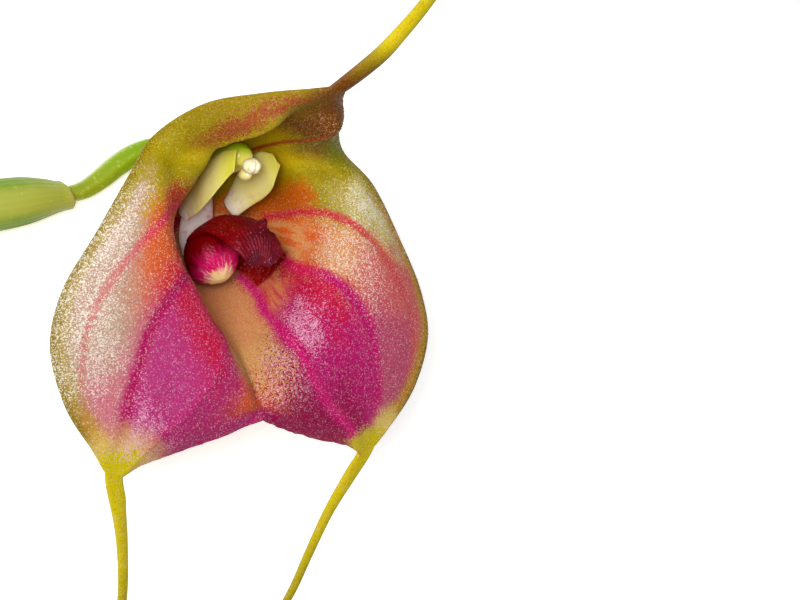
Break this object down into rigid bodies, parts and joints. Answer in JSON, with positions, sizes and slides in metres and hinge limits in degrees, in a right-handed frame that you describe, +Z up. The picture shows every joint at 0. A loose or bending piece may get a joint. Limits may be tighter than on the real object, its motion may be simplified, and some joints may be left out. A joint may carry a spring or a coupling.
{
  "type": "masdevallia orchid",
  "caption": "Picked orchid flower with a hood and two broad side blades joined in a tube, long tails, a small dark lip and its cut stalk, lying on its back.",
  "frame": {"origin": "the small flat spot under the chin of the sepal tube, on which the flower rests on its back", "axes": "+Z up out of the flower's mouth, +Y towards the hood, -X along the ovary, bract and cut stalk"},
  "size_m": [0.0724, 0.0871, 0.051],
  "materials": {
    "sepal": "fleshy petal tissue, glistening with fine papillae, cream and magenta with yellow rims",
    "petal": "smooth waxy cream-yellow",
    "column": "smooth waxy green-yellow, pinkish foot",
    "anther_cap": "glossy cream",
    "lip": "maroon, glossy base and papillose blade",
    "ovary": "smooth glossy green with shallow furrows",
    "bract": "pale green papery sheath with fine ribs",
    "peduncle": "satin green"
  },
  "bodies": {
    "root": {"sepal_cup": "sepal", "petal_left": "petal", "petal_right": "petal", "column": "column", "anther_cap": "anther_cap", "lip": "lip", "ovary": "ovary", "bract": "bract", "peduncle": "peduncle"}
  },
  "joints": []
}
